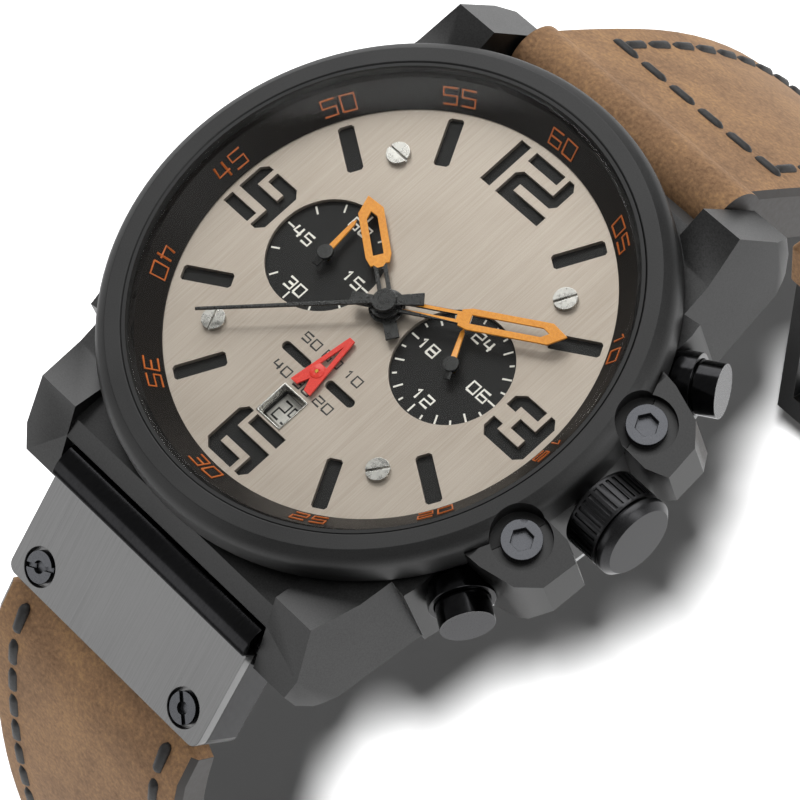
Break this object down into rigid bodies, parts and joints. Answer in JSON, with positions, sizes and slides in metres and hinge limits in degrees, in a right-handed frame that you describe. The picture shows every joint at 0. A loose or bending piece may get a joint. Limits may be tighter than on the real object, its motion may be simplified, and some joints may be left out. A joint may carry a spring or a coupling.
{
  "type": "chronograph wristwatch",
  "caption": "Large round chronograph wristwatch with a coated steel case, stencil-cut dial, crown between guards, push buttons and an unbuckled leather strap.",
  "frame": {"origin": "centre of the case back's outer face", "axes": "+Z out of the dial, +Y towards 12 o'clock, +X towards the crown at 3 o'clock"},
  "size_m": [0.0522, 0.1005, 0.1073],
  "materials": {
    "gunmetal_case": "satin gunmetal coating over steel",
    "gunmetal_bezel": "bead-blasted gunmetal coating",
    "black_steel": "glossy black coating",
    "back_steel": "brushed",
    "steel_screws": "polished",
    "plain_steel": "turned",
    "crystal": "polished mineral glass",
    "black_rubber": "moulded",
    "flange": "matt black-brown print ring",
    "dial_silver": "brushed warm silver",
    "dial_black": "matt black",
    "window_frame": "polished",
    "date_white": "white print",
    "movement_plastic": "moulded",
    "nickel_brass": "nickel plated",
    "wheel_brass": "stamped",
    "circuit_green": "circuit laminate",
    "battery_steel": "nickel plated can",
    "stator_iron": "annealed soft iron",
    "coil_copper": "enamelled copper wire",
    "hand_orange": "orange lacquer and black",
    "hand_black": "black lacquer",
    "strap_leather": "tan nubuck",
    "link_black": "satin black coating",
    "link_plate": "brushed grey coating",
    "buckle_metal": "gunmetal coating"
  },
  "bodies": {
    "case": {"case_body": "gunmetal_case", "bezel": "gunmetal_bezel", "crystal": "crystal", "gaskets": "black_rubber", "crown_guards": "gunmetal_case", "guard_screws": "steel_screws", "case_back": "back_steel", "case_back_screws": "steel_screws", "dial_flange": "flange", "dial_plate": "dial_silver", "dial_underplate": "dial_black", "date_window_frame": "window_frame", "dial_screws": "steel_screws", "movement_ring": "movement_plastic", "main_plate": "nickel_brass", "train_bridge": "nickel_brass", "bridge_screws": "steel_screws", "circuit_board": "circuit_green", "battery": "battery_steel", "stator": "stator_iron", "coil": "coil_copper", "crown_tube": "plain_steel", "pusher_collars": "black_steel", "start_pusher_spring": "plain_steel", "reset_pusher_spring": "plain_steel", "spring_bars": "plain_steel"},
    "date": {"date_ring": "date_white"},
    "minute": {"minute_hand": "hand_orange"},
    "motion": {"minute_wheel": "wheel_brass"},
    "hour": {"hour_hand": "hand_orange", "hour_wheel": "wheel_brass"},
    "idler": {"day_idler": "wheel_brass"},
    "day": {"day_hand": "hand_orange", "day_wheel": "wheel_brass"},
    "centre": {"centre_wheel": "wheel_brass"},
    "third": {"third_wheel": "wheel_brass"},
    "seconds": {"small_seconds_hand": "hand_orange", "seconds_wheel": "plain_steel"},
    "step": {"step_wheel": "movement_plastic"},
    "rotor": {"rotor": "movement_plastic"},
    "chrono": {"chrono_seconds_hand": "hand_black", "chrono_wheel": "plain_steel"},
    "chrono_mid": {"chrono_intermediate_wheel": "wheel_brass"},
    "counter": {"minute_counter_hand": "hand_orange", "minute_counter_wheel": "wheel_brass"},
    "crown_slide": {"setting_yoke": "plain_steel"},
    "crown": {"crown": "black_steel", "stem": "plain_steel"},
    "start_button": {"start_pusher": "black_steel"},
    "reset_button": {"reset_pusher": "black_steel"},
    "upper_strap": {"strap_upper": "strap_leather", "buckle_bar": "buckle_metal", "fixed_keeper": "strap_leather"},
    "buckle": {"buckle_frame": "buckle_metal"},
    "tongue": {"buckle_tongue": "buckle_metal"},
    "keeper": {"free_keeper": "strap_leather"},
    "lower_strap": {"end_link": "link_black", "link_plate": "link_plate", "link_plate_screws": "steel_screws", "strap_lower": "strap_leather"}
  },
  "joints": [
    {"name": "minute_turn", "type": "hinge", "parent": "case", "child": "minute", "pos_m": [0, 0, 0.008], "axis": [0, 0, -1], "continuous": true},
    {"name": "motion_turn", "type": "hinge", "parent": "case", "child": "motion", "pos_m": [-0.00255, 0.00255, 0.008], "axis": [0, 0, -1], "continuous": true},
    {"name": "hour_turn", "type": "hinge", "parent": "case", "child": "hour", "pos_m": [0, 0, 0.008], "axis": [0, 0, -1], "continuous": true},
    {"name": "idler_turn", "type": "hinge", "parent": "case", "child": "idler", "pos_m": [0.003, 0.00137, 0.008], "axis": [0, 0, -1], "continuous": true},
    {"name": "day_turn", "type": "hinge", "parent": "case", "child": "day", "pos_m": [0.0076, 0, 0.008], "axis": [0, 0, -1], "continuous": true},
    {"name": "date_turn", "type": "hinge", "parent": "case", "child": "date", "pos_m": [0, 0, 0.008], "axis": [0, 0, -1], "continuous": true},
    {"name": "seconds_turn", "type": "hinge", "parent": "case", "child": "seconds", "pos_m": [0, -0.0076, 0.008], "axis": [0, 0, -1], "continuous": true},
    {"name": "third_turn", "type": "hinge", "parent": "case", "child": "third", "pos_m": [0.00044, -0.00377, 0.008], "axis": [0, 0, -1], "continuous": true},
    {"name": "centre_turn", "type": "hinge", "parent": "case", "child": "centre", "pos_m": [0, 0, 0.008], "axis": [0, 0, -1], "continuous": true},
    {"name": "step_turn", "type": "hinge", "parent": "case", "child": "step", "pos_m": [0.00248, -0.0085, 0.008], "axis": [0, 0, -1], "continuous": true},
    {"name": "rotor_turn", "type": "hinge", "parent": "case", "child": "rotor", "pos_m": [0.00469, -0.00811, 0.008], "axis": [0, 0, -1], "continuous": true},
    {"name": "chrono_turn", "type": "hinge", "parent": "case", "child": "chrono", "pos_m": [0, 0, 0.008], "axis": [0, 0, -1], "continuous": true},
    {"name": "chrono_mid_turn", "type": "hinge", "parent": "case", "child": "chrono_mid", "pos_m": [-0.00383, 0.00044, 0.008], "axis": [0, 0, -1], "continuous": true},
    {"name": "counter_turn", "type": "hinge", "parent": "case", "child": "counter", "pos_m": [-0.0076, 0, 0.008], "axis": [0, 0, -1], "continuous": true},
    {"name": "crown_pull", "type": "slide", "parent": "case", "child": "crown_slide", "axis": [1, 0, 0], "range_m": [0, 0.001]},
    {"name": "crown_turn", "type": "hinge", "parent": "crown_slide", "child": "crown", "pos_m": [0.02, 0, 0.0077], "axis": [1, 0, 0], "continuous": true},
    {"name": "start_push", "type": "slide", "parent": "case", "child": "start_button", "axis": [-0.866, -0.5, 0], "range_m": [0, 0.001], "stiffness_N_per_m": 1000, "springref_m": -0.0005, "deforming": ["start_pusher_spring"]},
    {"name": "reset_push", "type": "slide", "parent": "case", "child": "reset_button", "axis": [-0.866, 0.5, 0], "range_m": [0, 0.001], "stiffness_N_per_m": 1000, "springref_m": -0.0005, "deforming": ["reset_pusher_spring"]},
    {"name": "upper_strap_turn", "type": "hinge", "parent": "case", "child": "upper_strap", "pos_m": [0, 0.0252, 0.0043], "axis": [1, 0, 0], "range_deg": [-3, 40]},
    {"name": "lower_strap_turn", "type": "hinge", "parent": "case", "child": "lower_strap", "pos_m": [0, -0.0252, 0.0043], "axis": [-1, 0, 0], "range_deg": [-3, 40]},
    {"name": "buckle_turn", "type": "hinge", "parent": "upper_strap", "child": "buckle", "pos_m": [0, 0.04417, -0.0608], "axis": [1, 0, 0], "range_deg": [-20, 20]},
    {"name": "tongue_turn", "type": "hinge", "parent": "buckle", "child": "tongue", "pos_m": [0, 0.04417, -0.0608], "axis": [1, 0, 0], "range_deg": [0, 70]},
    {"name": "keeper_slide", "type": "slide", "parent": "upper_strap", "child": "keeper", "axis": [0, -0.0805, -0.9968], "range_m": [-0.002, 0.001]}
  ],
  "couplings": [
    {"joint": "motion_turn", "follows": "minute_turn", "ratio": -0.33333},
    {"joint": "hour_turn", "follows": "minute_turn", "ratio": 0.083333},
    {"joint": "idler_turn", "follows": "minute_turn", "ratio": -0.069444},
    {"joint": "day_turn", "follows": "minute_turn", "ratio": 0.041667},
    {"joint": "third_turn", "follows": "seconds_turn", "ratio": -0.13333},
    {"joint": "centre_turn", "follows": "seconds_turn", "ratio": 0.016667},
    {"joint": "step_turn", "follows": "seconds_turn", "ratio": -5},
    {"joint": "rotor_turn", "follows": "seconds_turn", "ratio": 30},
    {"joint": "chrono_mid_turn", "follows": "chrono_turn", "ratio": -0.13333},
    {"joint": "counter_turn", "follows": "chrono_turn", "ratio": 0.016667}
  ]
}
